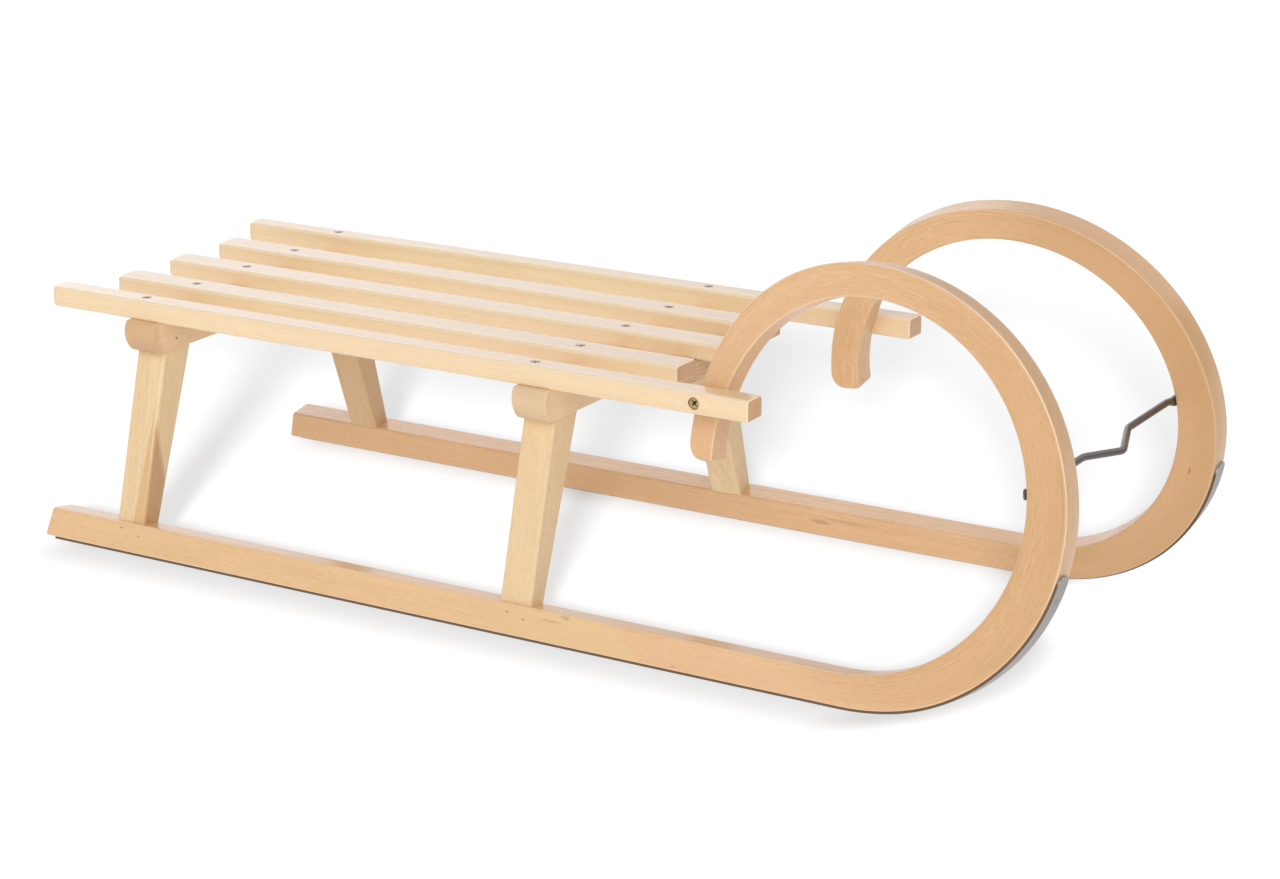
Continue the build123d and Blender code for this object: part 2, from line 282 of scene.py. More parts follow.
def beech(name, finish, source="grain", spots=(), pieceTone=None, marks=None):
    # Lacquered beech. Tone = sum of streaks, rings, fibres, ripples and clouds, each times its strength; it
    # blends pale to deep, then flecks, pores, marks, spots, end grain and a painted highlight along the
    # arrises are laid over it.
    material, start, output = newMaterial(name)
    look = beechLook
    if source == "grain":
        point = attribute(start, "grain", 1)
        endMask = attribute(start, "endGrain", 2)
        arris = attribute(start, "arris", 2)
    else:
        point = start.node("TexCoord", None, None, 3)
        normal = start.node("TexCoord", None, None, 1)
        flat = [abs(part) for part in normal.parts()]
        endMask = flat[0].step(0.80, 0.98)
        flattest = start.math("MAXIMUM", start.math("MAXIMUM", flat[0], flat[1]), flat[2])
        # Rounded edges, where the painted highlight goes.
        arris = 1.0 - flattest.step(0.8, 0.985)
    along, across, depth = point.parts()
    pale, deep, end = finish["pale"], finish["deep"], finish["end"]
    slow, warp, streak, fibre, ripple, cloud, fleck, pore, endPores = [
        point.noise((lengthwise, crosswise, crosswise), detail, rough, shift, distortion)
        for lengthwise, crosswise, detail, rough, shift, distortion in beechNoise]

    ya = across + look["pith"][0] + slow * look["wander"][0] + along * look["pithTilt"]
    zb = depth + look["pith"][1] + warp * look["wander"][1]
    radial = (ya * ya + zb * zb) ** 0.5
    ring = start.math("FRACT", radial / look["ringSpacing"] + warp * 0.6)
    lateWood = ring.step(*look["lateWood"]) * (1.0 - ring.step(look["lateWood"][1], 1.0))
    tone = (0.45 + streak * finish["streaks"] + (lateWood - 0.4) * finish["rings"] + fibre * finish["fibres"]
            + ripple * finish["ripples"] + cloud * finish["clouds"])
    if pieceTone is not None:
        tone = tone + pieceTone(start, point)
    colour = tone.blend(pale, deep)
    colour = (0.5 + slow * 1.8).step(*look["warmRange"]).blend(colour, finish["warm"])

    fleck = fleck.step(*look["fleckRange"])
    colour = (fleck * finish["flecks"]).blend(colour, shaded(deep, look["fleckShade"]))
    pore = pore.step(*look["poreRange"])
    colour = (pore * look["poreStrength"]).blend(colour, shaded(deep, look["poreShade"]))
    for mask, markColour in (marks(start, point) if marks else ()):
        colour = (mask * (0.85 + ripple * 0.5)).blend(colour, markColour)
    for at, size, strength, spotColour, ragged in spots:
        gap = start.node("VectorMath", {"operation": "SUBTRACT"}, {0: point, 1: at})
        gap = gap.stretched(tuple(1.0 / part for part in size))
        reach = start.node("VectorMath", {"operation": "LENGTH"}, {0: gap}, 1)
        inside = 1.0 - (reach + ripple * ragged).step(*look["spotRange"])
        colour = (inside * strength).blend(colour, spotColour)

    endFigure = finish["endFigure"]
    endRing = start.math("FRACT", radial / look["endRingSpacing"] + warp).step(0.4, 1.0)
    endTone = 0.40 + endPores * 1.1 * endFigure + endRing * 0.4 * endFigure + cloud * 0.9
    colour = (endMask * 0.95).blend(colour, endTone.blend(end, shaded(end, look["endShade"])))
    # Painted highlight: the arrises are lightened, more where the streaks are high.
    paintedArrisHighlight = arris * (0.75 + streak * 1.5) * finish["arris"]
    colour = paintedArrisHighlight.blend(colour, finish.get("highlight", tuple(min(1.0, 1.10 * part + 0.06) for part in pale)))

    rough = look["roughness"] + fibre * 0.16 + lateWood * 0.04 + endMask * 0.22 + cloud * 0.08
    height = fibre * 0.5 + lateWood * 0.12 + ripple * 0.4
    height = height + fleck * -0.4 + pore * -0.5 + endMask * endPores * 0.9
    dress(start, output, look, height, {
        "Base Color": colour, "Roughness": rough, "Coat Weight": finish["coat"],
        "Coat Roughness": look["coatRoughness"], "Specular IOR Level": look["specular"]})
    return material


steelLook = {
    "patchCells": (22.0, 60.0, 60.0), "grimeCells": (70.0, 240.0, 240.0),
    "grimeRange": (0.12, 0.34), "grimeColour": (0.16, 0.10, 0.06), "grimeStrength": 0.35,
    # A strip's narrow sides get a painted shade.
    "sideRange": (0.0009, 0.0002),  # how near a strip's edge its side colour starts and is full
    "sideShadeColour": (0.20, 0.135, 0.085), "bumpStrength": 0.25, "bumpDepth": 0.00012,
}


def steel(name, base, dark, roughness, brushed, metallic=0.85, sideWidth=None):
    # Steel: fine lines, dull patches and a dusting of brown; a strip's narrow sides get a painted shade of
    # dark brown, where the distance of b from its middle comes near half its width.
    material, start, output = newMaterial(name)
    look = steelLook
    point = attribute(start, "grain", 1)
    lines = point.noise(brushed, 3.0, 0.6)
    patch = point.noise(look["patchCells"], 3.0, 0.6, (2.0, 0.1, 0.4))
    grime = point.noise(look["grimeCells"], 3.0, 0.65, (0.3, 5.0, 1.4)).step(*look["grimeRange"])
    tone = 0.5 + lines * 0.9 + patch * 0.9
    colour = (grime * look["grimeStrength"]).blend(tone.blend(dark, base), look["grimeColour"])
    # Painted shade on a strip's narrow sides.
    if sideWidth is not None:
        middle, reach = sideWidth
        offset = abs(point.parts()[2] - middle) + patch * 0.0012
        side = offset.step(reach - look["sideRange"][0], reach - look["sideRange"][1])
        colour = side.blend(colour, look["sideShadeColour"])
    rough = roughness + lines * 0.18 + patch * 0.22 + grime * 0.2
    height = lines * 0.6 + grime * -0.5
    dress(start, output, look, height, {"Base Color": colour, "Metallic": metallic, "Roughness": rough})
    return material


# Sizes shared by the pieces, in metres; x is measured from the rear of the outer slats until it is set back.
sled = {
    "overall": 1.0045449, "halfSpan": 0.197, "lean": math.radians(10.2),
    "standLine": 0.0212,  # from a runner's outer face to the edge of the strip it stands on
    "rearBeamX": 0.1095, "frontBeamX": 0.522, "crossBarX": 0.5845, "beamTop": 0.2112,
    "slatPitch": 0.0735, "outerSlatY": 0.144, "innerSlatTop": 0.2265, "outerSlatTop": 0.2295,
    "outerSlatSide": 0.156,
}
half = sled["overall"] / 2
beamRows = (("rear", sled["rearBeamX"]), ("front", sled["frontBeamX"]))
twoSides = (("right", -1), ("left", 1))


# Finishes; 'arris' is the strength of a painted highlight along the arrises, whose colour is given or
# else a little lighter than pale
beamFinish = {
    "pale": (0.95, 0.69, 0.43), "deep": (0.79, 0.53, 0.295), "warm": (0.90, 0.63, 0.38),
    "end": (0.87, 0.62, 0.375),
    "streaks": 0.7, "rings": 0.15, "fibres": 0.7, "ripples": 0.8, "clouds": 0.6, "flecks": 0.35,
    "arris": 0.25, "coat": 0.4, "endFigure": 0.3,
}
rearBeamFinish = dict(beamFinish, end=(0.79, 0.49, 0.265))
# The front bar is browner and darker as painted shadow under the seat; its stronger rings are the wood's
# figure.
shadedFrontBarFinish = dict(beamFinish, pale=(0.72, 0.46, 0.25), deep=(0.52, 0.31, 0.15),
                      warm=(0.66, 0.41, 0.22), rings=0.9)
legFinish = dict(beamFinish, pale=(0.91, 0.70, 0.43), deep=(0.75, 0.51, 0.27), warm=(0.84, 0.595, 0.345),
                 end=(0.60, 0.38, 0.2), streaks=0.9, ripples=0.7, arris=0.10, coat=0.35, endFigure=1.0)
# A darker copy of the leg finish for the far rear leg: painted shade.
shadedLegFinish = dict(legFinish, pale=(0.75, 0.51, 0.28), deep=(0.62, 0.39, 0.19), warm=(0.72, 0.47, 0.25))
slatFinish = dict(beamFinish, pale=(0.93, 0.725, 0.455), deep=(0.82, 0.59, 0.335), warm=(0.89, 0.65, 0.41),
                  end=(0.79, 0.42, 0.19), highlight=(1.0, 0.86, 0.66), streaks=1.3, rings=0.10, fibres=0.5,
                  ripples=0.45, clouds=0.7, flecks=0.22, arris=0.50, coat=0.85, endFigure=1.0)
runnerFinish = dict(beamFinish, pale=(0.87, 0.57, 0.31), deep=(0.66, 0.385, 0.178),
                    warm=(0.80, 0.485, 0.265), end=(0.60, 0.35, 0.18), highlight=(0.98, 0.76, 0.55),
                    rings=0.14, ripples=0.95, flecks=0.24, arris=0.36, coat=0.6, endFigure=1.0)
# A slightly darker copy of the runner's finish for the far runner: painted shade.
farRunnerShadedFinish = dict(runnerFinish, pale=(0.87, 0.56, 0.295), deep=(0.62, 0.36, 0.16),
                       warm=(0.76, 0.45, 0.23))


# Where each piece lies in the figure of the wood
runnerShift = {"right": (0.0, 0.0, 0.0), "left": (3.7, 0.02, 0.11)}
legShift = {
    "rear_right": (0.37, 0.013, 0.031), "rear_left": (2.15, 0.052, 0.066),
    "front_right": (5.12, 0.027, 0.008), "front_left": (7.44, 0.041, 0.083),
}
rearBeamShift = (0.56, 0.03, 0.026)
frontBeamShift = (2.66, 0.04, 0.067)
frontBarShift = (1.1, 0.06, 0.04)


def spotsOn(shift, table):
    # The table's marks, their places moved to the grain of the piece that has this shift.
    return [(tuple(moved + part for moved, part in zip(shift, place)), *rest) for place, *rest in table]


# Knots, flecks and a painted shadow: (along, a, b), size, strength, colour, how ragged
knotBrown = (0.33, 0.17, 0.08)
legShadowBrown = (0.42, 0.25, 0.13)
runnerSpots = spotsOn(runnerShift["right"], [
    ((0.085, 0.0213, 0.0), (0.0018, 0.0011, 0.002), 0.9, knotBrown, 0.5),
    ((0.104, 0.0162, 0.0), (0.0016, 0.0010, 0.002), 0.8, knotBrown, 0.5),
    ((0.5015, 0.0208, 0.0), (0.0016, 0.0011, 0.002), 0.9, knotBrown, 0.5),
    ((0.5165, 0.0168, 0.0), (0.0016, 0.0011, 0.002), 0.8, knotBrown, 0.5),
    # Painted shadow of the front leg on the runner's top, in two parts.
    ((0.545, 0.0205, 0.0), (0.0130, 0.0014, 0.003), 0.40, legShadowBrown, 0.8),
    ((0.5605, 0.0262, 0.004), (0.0062, 0.0028, 0.012), 0.50, legShadowBrown, 0.8),
    ((0.657, 0.0042, 0.0), (0.0020, 0.0016, 0.002), 0.55, (0.42, 0.24, 0.12), 0.5),
    ((1.078, 0.0034, 0.0), (0.036, 0.0007, 0.003), 0.55, (0.50, 0.26, 0.13), 0.8),
])
farRunnerSpots = spotsOn(runnerShift["left"], [
    ((0.603, 0.0153, 0.025), (0.0120, 0.0030, 0.004), 0.55, (0.42, 0.23, 0.11), 1.2),
    ((1.017, 0.0201, 0.025), (0.0042, 0.0013, 0.003), 0.85, (0.36, 0.17, 0.08), 0.8),
    ((0.632, 0.0200, 0.025), (0.0300, 0.0016, 0.004), 0.45, (0.45, 0.25, 0.12), 1.0),
])
rearBeamSpots = spotsOn(rearBeamShift, [
    ((0.0298, -0.0189, 0.017), (0.0018, 0.0014, 0.002), 0.9, (0.30, 0.09, 0.04), 0.5),
    ((0.0, -0.0022, 0.002), (0.004, 0.0009, 0.0016), 0.7, (0.36, 0.19, 0.10), 0.5),
])


heart = {
    "wedgeMiddle": (0.0088, 0.0286),  # ahead at the foot, and its slant
    "wedgeTop": 0.105, "wedgeSpread": 0.065, "wedgeColour": (0.72, 0.45, 0.21),
    "nearDepth": (0.006, 0.010),  # how deep the near face's wedge goes in
    "stainTop": 0.095, "stainSlant": 0.42,
    "stainAhead": (0.0135, 0.0150),  # where the front face starts
    "stainColour": (0.56, 0.32, 0.14),
}


def heartwood(start, point):
    # Darker heartwood low on the right rear leg. On the near face a wedge: |ahead - its middle| less a half
    # width that shrinks with height; on the front face what lies nearer than a slanting line.
    height, inward, ahead = [part - moved for part, moved in zip(point.parts(), legShift["rear_right"])]
    foot, slant = heart["wedgeMiddle"]
    wedge = abs(ahead - height * slant - foot)
    wedge = wedge - (heart["wedgeTop"] - height) * heart["wedgeSpread"]
    near = (1.0 - wedge.step(-0.0014, 0.0006)) * (1.0 - inward.step(*heart["nearDepth"]))
    stain = inward - (heart["stainTop"] - height) * heart["stainSlant"]
    front = (1.0 - stain.step(-0.006, 0.001)) * ahead.step(*heart["stainAhead"])
    return [(near, heart["wedgeColour"]), (front, heart["stainColour"])]


board = {
    "at": 0.6283,  # along the runner, on its outer edge
    "slant": 0.952, "blur": 0.0008,
    "strength": (0.25, 0.35),  # at the rear, and what is added over the stretch where it grows
    "grows": (0.40, 0.60), "colour": (0.78, 0.555, 0.27),
}


def paleBoard(start, point):
    # The near runner is yellower behind a line that slants across it ahead of the front leg.
    along, across, depth = point.parts()
    behind = 1.0 - (along + across * board["slant"] - board["at"]).step(-board["blur"], board["blur"])
    strength = board["strength"][0] + along.step(*board["grows"]) * board["strength"][1]
    return [(behind * strength, board["colour"])]


def slatTone(start, point):
    # Each slat is cut from another board: a random tone for each whole number of pitches across the seat,
    # plus twenty, so that it stays above 0.
    row = start.math("ROUND", point.parts()[1] / sled["slatPitch"] + 20.0)
    chance = start.node("TexWhiteNoise", {"noise_dimensions": "1D"}, {"W": row})
    return (chance - 0.5) * 0.3


bendPart = {"rises": (0.74, 0.92), "falls": (1.18, 1.38)}  # along the runner


def bendShade(strength, shift):
    # Painted shade along the front bend: a darker tone that rises from the foot to the front and falls
    # before the horn's top.
    def tone(start, point):
        along = point.parts()[0] - shift[0]
        return along.step(*bendPart["rises"]) * (1.0 - along.step(*bendPart["falls"])) * strength
    return tone


slatWood = beech("seatBeech", slatFinish, "object", pieceTone=slatTone)
# Painted shade on the bends, deeper on the far runner.
nearBendShade, farBendShade = bendShade(0.5, runnerShift["right"]), bendShade(1.15, runnerShift["left"])
runnerWood = beech("runnerBeech", runnerFinish, "grain", runnerSpots, nearBendShade, paleBoard)
farRunnerWood = beech("farRunnerBeech", farRunnerShadedFinish, "grain", farRunnerSpots, farBendShade)
legWood = beech("legBeech", legFinish, marks=heartwood)
shadedLegWood = beech("shadedLegBeech", shadedLegFinish)
rearBeamWood = beech("rearBeamBeech", rearBeamFinish, spots=rearBeamSpots)
frontBeamWood = beech("frontBeamBeech", beamFinish)
frontBarWood = beech("frontBarBeech", shadedFrontBarFinish)
fineCells = (500.0, 500.0, 500.0)
stripSteel = steel("stripSteel", (0.44, 0.42, 0.40), (0.30, 0.28, 0.26), 0.42, (6.0, 900.0, 900.0), 0.7,
                   (0.0112, 0.010))
barSteel = steel("barSteel", (0.20, 0.175, 0.16), (0.10, 0.085, 0.08), 0.36, (40.0, 700.0, 700.0))
screwSteel = steel("screwSteel", (0.44, 0.39, 0.33), (0.16, 0.13, 0.11), 0.40, fineCells)
brassedSteel = steel("yellowZinc", (0.62, 0.50, 0.25), (0.34, 0.25, 0.12), 0.34, fineCells)
print("materials are made")


# Runners: each is one long bar, bent up at the front and round into a horn whose tail is sprung in.
runner = {
    "thickness": 0.025, "depth": 0.027, "stripThickness": 0.002, "outerStart": (0.8296, 0.002),
    "outerBends": [(0.2164, 11.7), (0.1644, 83.8), (0.1853, 93.5), (0.1487, 49.0), (0.1846, 49.0)],
    "innerStart": (0.8156, 0.029),
    "innerBends": [(0.283, 3.7), (0.1456, 105.3), (0.1508, 71.3), (0.1331, 57.7), (0.1518, 52.0)],
    "rear": 0.0145, "rearSlant": 0.0075, "tailHeight": 0.171, "tailRadius": 0.013,
    "tailSmallRadius": 0.003, "springStart": 0.9725,
    "springAbove": 0.136,  # height from which the horn is sprung inward
    "springRadius": 1.7, "arrisRadius": 0.0020, "endRadius": 0.0018, "endGrainReach": 0.0012,
    # Strength of the painted highlight on each arris.
    "highlight": (0.6, 1.0, 2.6, 1.7),  # of the arrises, in the order of roundedSection's corners
    "turns": (287.0, 1.25),  # degrees in all, and from point to point
    "footPoints": 60,
    "slantShare": 0.05,  # of the foot, over which the rear slant fades
    "spacing": 0.005,
}


def bendPoints(start, bends, heading):
    # A chain of arcs: each bend adds its turn; a point lies at centre + radius * (sin, -cos) of its heading.
    x, t = start
    total = 0.0
    place = np.zeros((len(heading), 2))
    for radius, turn in bends:
        turn = math.radians(turn)
        centre = (x - radius * math.sin(total), t + radius * math.cos(total))
        here = heading >= total - 1e-9
        place[here, 0] = centre[0] + radius * np.sin(heading[here])
        place[here, 1] = centre[1] - radius * np.cos(heading[here])
        total += turn
        x = centre[0] + radius * math.sin(total)
        t = centre[1] - radius * math.cos(total)
    return place


def toSled(x, t, across, side):
    # Leans the upright side view over the floor; across is 0 on the outer face. The horn beyond its front
    # bend is sprung inward: a layer between two arcs, so across moves by radius - sqrt(radius^2 - reach^2).
    reach = np.clip(runner["springStart"] - x, 0.0, None) * (t > runner["springAbove"])
    share = across / runner["thickness"]
    outerArc = runner["springRadius"]
    innerArc = outerArc - runner["thickness"]
    outerFace = outerArc - np.sqrt(outerArc ** 2 - reach ** 2)
    innerFace = outerArc - np.sqrt(innerArc ** 2 - reach ** 2)
    n = outerFace * (1.0 - share) + innerFace * share
    sine, cosine = math.sin(sled["lean"]), math.cos(sled["lean"])
    y = -sled["halfSpan"] + t * sine + n * cosine
    return x - half, -y * side, sled["standLine"] * sine + t * cosine - n * sine


def runnerEdges():
    # Matching points on the outer and the inner edge: by share along the straight foot, then by heading.
    turn = np.radians(np.arange(0.0, *runner["turns"]))
    outer = bendPoints(runner["outerStart"], runner["outerBends"], turn)
    down = turn > math.radians(180)
    endTurn = np.interp(-runner["tailHeight"], -outer[down, 1], turn[down])
    turn = np.append(turn[turn < endTurn], endTurn)
    outer = bendPoints(runner["outerStart"], runner["outerBends"], turn)
    inner = bendPoints(runner["innerStart"], runner["innerBends"], turn)
    share = np.linspace(0.0, 1.0, runner["footPoints"])[:-1, None]
    outerRear = np.array([runner["rear"], runner["outerStart"][1]])
    innerRear = np.array([runner["rear"], runner["innerStart"][1]])
    slant = np.clip(1.0 - share / runner["slantShare"], 0.0, 1.0) * runner["rearSlant"]
    outerFoot = outerRear * (1.0 - share) + np.array(runner["outerStart"]) * share
    innerFoot = innerRear * (1.0 - share) + np.array(runner["innerStart"]) * share
    innerFoot[:, :1] += slant
    return np.concatenate([outerFoot, outer]), np.concatenate([innerFoot, inner])


def resample(path, along, wanted):
    # The points of a path at other distances along it.
    return np.stack([np.interp(wanted, along, path[:, k]) for k in range(path.shape[1])], axis=1)


def pathLength(path):
    # Distance along a path at each of its points.
    return np.concatenate([[0.0], np.cumsum(np.sqrt((np.diff(path, axis=0) ** 2).sum(axis=1)))])


outerEdge, innerEdge = runnerEdges()
lineLength = pathLength((outerEdge + innerEdge) / 2)


def runnerBar(name, side, shift, material):
    # A point is outer edge * (1 - share) + inner edge * share, where share = a / the depth there.
    length = lineLength[-1]
    along = roundedEnds(length, runner["endRadius"], runner["tailRadius"], runner["spacing"], 7)
    outer, inner = resample(outerEdge, lineLength, along), resample(innerEdge, lineLength, along)
    depth = np.hypot(*(inner - outer).T)
    toTail = length - along
    fromRear = shrink(along, runner["endRadius"])
    low = fromRear + shrink(toTail, runner["tailRadius"])
    high = depth - fromRear - shrink(toTail, runner["tailSmallRadius"])
    sideIn = fromRear + shrink(toTail, runner["tailSmallRadius"])
    section, edge = roundedSection(low, high, sideIn, runner["thickness"] - sideIn, runner["arrisRadius"],
                                   8, 3, runner["highlight"])

    def place(station, s, a, b):
        share = a / depth[station]
        flat = outer[station] * (1.0 - share[:, None]) + inner[station] * share[:, None]
        return toSled(flat[:, 0], flat[:, 1], b, side)

    return bar(name, place, along, section, edge, shift, material, runner["endGrainReach"])


runnerRight = runnerBar("bent_runner_right", -1, runnerShift["right"], runnerWood)
runnerLeft = runnerBar("bent_runner_left", 1, runnerShift["left"], farRunnerWood)
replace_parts(runnerRight, "runner_right")
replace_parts(runnerLeft, "runner_left")
print("runners are bent")


# Running strips: a flat steel band under each runner and up its front bend.
strip = {
    "rear": 0.0255, "turn": 79.0, "inset": 0.0012, "width": 0.020, "tipRadius": 0.008,
    "endRadius": 0.0004, "arrisRadius": 0.00045, "bendPoints": 90, "footPoints": 50,
    "spacing": 0.006,
    "nailSpots": (0.06, 0.24, 0.42, 0.60, 0.78),  # along the foot
    "nailFromTip": 0.021, "nailRadius": 0.0026,
    "tipShare": 0.98,  # of the tip's radius, so that it stays blunt
    "shift": {"right": (0.0, 0.0, 0.0), "left": (2.3, 0.3, 0.0)},
}


def stripLine():
    # The underside of the wood: the straight foot, then the bend; normals point into the wood.
    turn = np.radians(np.linspace(0.0, strip["turn"], strip["bendPoints"]))
    bend = bendPoints(runner["outerStart"], runner["outerBends"], turn)
    foot = np.linspace(strip["rear"], runner["outerStart"][0], strip["footPoints"])[:-1]
    path = np.concatenate([np.stack([foot, np.full(len(foot), runner["outerStart"][1])], axis=1), bend])
    inward = np.stack([-np.sin(turn), np.cos(turn)], axis=1)
    return path, np.concatenate([np.tile([0.0, 1.0], (len(foot), 1)), inward])


def runningStrip(name, side, shift):
    # A point is the line under the wood + a * its normal.
    path, normals = stripLine()
    length = pathLength(path)
    along = roundedEnds(length[-1], strip["endRadius"], strip["tipRadius"], strip["spacing"], 9)
    line, up = resample(path, length, along), resample(normals, length, along)
    sideIn = shrink(length[-1] - along, strip["tipRadius"] * strip["tipShare"]) + strip["inset"]
    right = 2 * strip["inset"] + strip["width"] - sideIn
    section, edge = roundedSection(-runner["stripThickness"], 0.0, sideIn, right, strip["arrisRadius"], 3)

    def place(station, s, a, b):
        flat = line[station] + up[station] * a[:, None]
        return toSled(flat[:, 0], flat[:, 1], b, side)

    return bar(name, place, along, section, edge, shift, stripSteel)


stripRight = runningStrip("steel_strip_right", -1, strip["shift"]["right"])
stripLeft = runningStrip("steel_strip_left", 1, strip["shift"]["left"])
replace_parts(stripRight, "running_strip_right")
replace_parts(stripLeft, "running_strip_left")
print("running strips are laid")


# Legs: from a narrow foot on the runner to a wide head under the beam.
leg = {
    "width": 0.031, "footInset": 0.0044, "headOuterY": 0.147, "headThickness": 0.036,
    "headZ": 0.1822, "arrisRadius": 0.0024, "sunk": 0.0006, "stations": 24,
    "endSteps": (0.0004, 0.0012),  # stations near each end keep the shading flat
    "endGrainReach": 1e-5,
}


def legBar(name, x, side, shift):
    # A point is foot * (1 - up) + head * up, both taken at the same share of their thickness.
    footT = runner["stripThickness"] + runner["depth"] - leg["sunk"]
    footX, footY, footZ = toSled(np.array([x, x]), np.array([footT, footT]),
                                 np.array([leg["footInset"], runner["thickness"]]), side)
    headY = np.array([leg["headOuterY"], leg["headOuterY"] - leg["headThickness"]]) * side
    headZ = leg["headZ"] + leg["sunk"]
    length = headZ - footZ[0]
    first, second = leg["endSteps"]
    middle = np.linspace(second, length - second, leg["stations"])
    along = np.concatenate([[0.0, first], middle, [length - first, length]])
    share = along / length
    footThickness = math.hypot(footY[1] - footY[0], footZ[1] - footZ[0])
    thick = footThickness * (1 - share) + leg["headThickness"] * share
    section, edge = roundedSection(0.0, thick, -leg["width"] / 2, leg["width"] / 2, leg["arrisRadius"])

    def place(station, s, a, b):
        up, inward = s / length, a / thick[station]
        lowY, lowZ, highY = [end[0] * (1 - inward) + end[1] * inward for end in (footY, footZ, headY)]
        return footX[0] + b, lowY * (1 - up) + highY * up, lowZ * (1 - up) + headZ * up

    # The far rear leg gets the darker copy as painted shade.
    material = shadedLegWood if name.endswith("rear_left") else legWood
    return bar(name, place, along, section, edge, shift, material, leg["endGrainReach"])


for place, x in beamRows:
    for sideName, side in twoSides:
        label = place + "_" + sideName
        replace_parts(legBar("splayed_leg_" + label, x, side, legShift[label]), "leg_" + label)
print("legs stand")


# Beams with bulging ends, and the small front bar: straight bars across the sled.
beam = {
    "depth": 0.029, "width": 0.034,
    "ends": (0.160, 0.1635, 0.1545),  # half lengths at the top, a third down and at the bottom
    "endRadius": 0.0016,
    "topShare": 0.8,  # how much of the end's rounding its top edge takes
    "arrisRadius": 0.0020, "endGrainReach": 0.0045, "spacing": 0.008,
}
frontBar = {
    "depth": 0.0195, "width": 0.026, "ends": (0.09225, 0.09225, 0.09225), "endRadius": 0.0022,
}


def crossBar(name, x, sizes, shift, material):
    # Across the sled, with half length = the parabola through its three given half lengths at 0, 1/3 and 1
    # of the depth; the bar is stretched by half length / the largest of them at each height.
    longest = max(sizes["ends"])
    fit = np.polyfit([0.0, 1.0 / 3.0, 1.0], sizes["ends"], 2)
    along = roundedEnds(2 * longest, sizes["endRadius"], sizes["endRadius"], beam["spacing"], 7)
    drawn = shrink(np.minimum(along, 2 * longest - along), sizes["endRadius"])
    halfWidth = sizes["width"] / 2 - drawn
    section, edge = roundedSection(-sizes["depth"] + drawn, -beam["topShare"] * drawn, -halfWidth, halfWidth,
                                   beam["arrisRadius"], 6, 9)

    def place(station, s, a, b):
        reach = np.polyval(fit, -a / sizes["depth"]) / longest
        return x - half + b, (s - longest) * reach, sled["beamTop"] + a

    return bar(name, place, along, section, edge, shift, material, beam["endGrainReach"])


rearBeam = crossBar("cross_beam_rear", sled["rearBeamX"], beam, rearBeamShift, rearBeamWood)
frontBeam = crossBar("cross_beam_front", sled["frontBeamX"], beam, frontBeamShift, frontBeamWood)
underBar = crossBar("cross_bar_front", sled["crossBarX"], frontBar, frontBarShift, frontBarWood)
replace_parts(rearBeam, "beam_rear")
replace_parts(frontBeam, "beam_front")
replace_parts(underBar, "crossbar_front")
print("beams are across")


# Pull bar: a round rod with a notch, its two ends beaten flat.
rod = {
    "radius": 0.003, "x": 0.46277, "z": 0.19198,
    "notchHalf": 0.045, "notchAhead": 0.015, "notchDrop": 0.0045,
    "bend": 0.009,  # length over which a corner is rounded
    "tabX": 0.46485, "tabY": 0.15034, "tabZ": 0.19225, "tabHalf": 0.012,
    "tabInner": 0.9,  # the straight part of a tab ends at this share of its half length
    "tabToRod": 0.020, "tabFlat": (0.0015, 0.0045),
    "flatFrom": 0.003,  # so far before a tab's inner end it starts to go round, over flatRun
    "flatRun": 0.009, "endRadius": 0.004, "tilt": math.radians(7.54), "finePoints": 700,
    "spacing": 0.0022, "around": 32,
}


